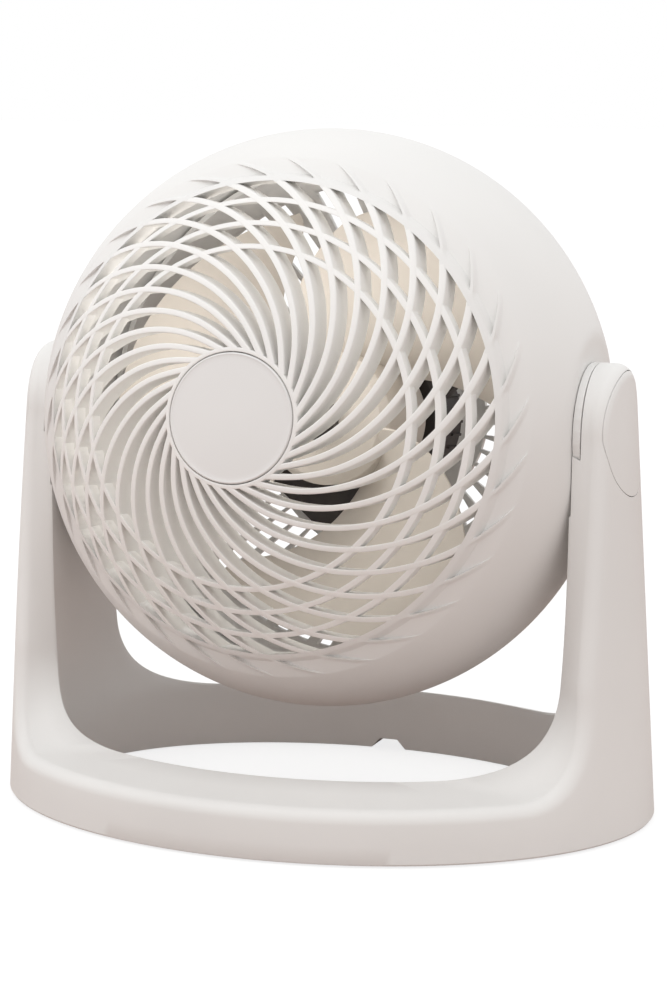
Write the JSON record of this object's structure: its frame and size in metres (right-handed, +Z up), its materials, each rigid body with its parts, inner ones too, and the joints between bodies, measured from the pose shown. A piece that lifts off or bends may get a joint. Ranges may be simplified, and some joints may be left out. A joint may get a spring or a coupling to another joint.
{
  "type": "desktop air circulator fan",
  "caption": "Round tilting fan head with a spiral lattice front grille and a bare centre disc, held between the two arms of an oval hoop stand.",
  "frame": {"origin": "on the table, in the middle of the stand's oval outline, below the tilting axis", "axes": "+Z up, +X to the viewer's right along the tilting axis, and the fan blows towards -Y"},
  "size_m": [0.241, 0.1854, 0.2411],
  "materials": {
    "shell": "satin, warm white",
    "inner": "satin, cream",
    "disc": "smooth, cool white",
    "motor": "black coated",
    "black": "matte black",
    "washer": "matte black",
    "steel": "plain",
    "rubber": "matte grey"
  },
  "bodies": {
    "stand_body": {"stand": "shell", "base_cover": "shell", "foot_1": "rubber", "foot_2": "rubber", "foot_3": "rubber", "foot_4": "rubber", "pivot_cap_right": "shell", "pivot_cap_left": "shell"},
    "head": {"front_shell": "shell", "hub_disc": "disc", "rear_cover": "shell", "motor": "motor", "motor_bearing": "steel", "speed_switch": "black", "pivot_disc_right": "shell", "pivot_disc_left": "shell", "friction_washer_right": "washer", "friction_washer_left": "washer", "pivot_screw_right": "steel", "pivot_screw_left": "steel"},
    "rotor": {"rotor_shaft": "steel", "fan_rotor": "inner", "rotor_nut": "black"},
    "knob": {"speed_knob": "shell"}
  },
  "joints": [
    {"name": "head_tilt", "type": "hinge", "parent": "stand_body", "child": "head", "pos_m": [0, 0, 0.1386], "axis": [-1, 0, 0], "range_deg": [-7.4, 82.6]},
    {"name": "fan_spin", "type": "hinge", "parent": "head", "child": "rotor", "pos_m": [0, 0, 0.1386], "axis": [0, -0.9917, 0.1288], "continuous": true},
    {"name": "knob_turn", "type": "hinge", "parent": "head", "child": "knob", "pos_m": [0, 0, 0.1386], "axis": [0, -0.9917, 0.1288], "range_deg": [0, 135]}
  ]
}
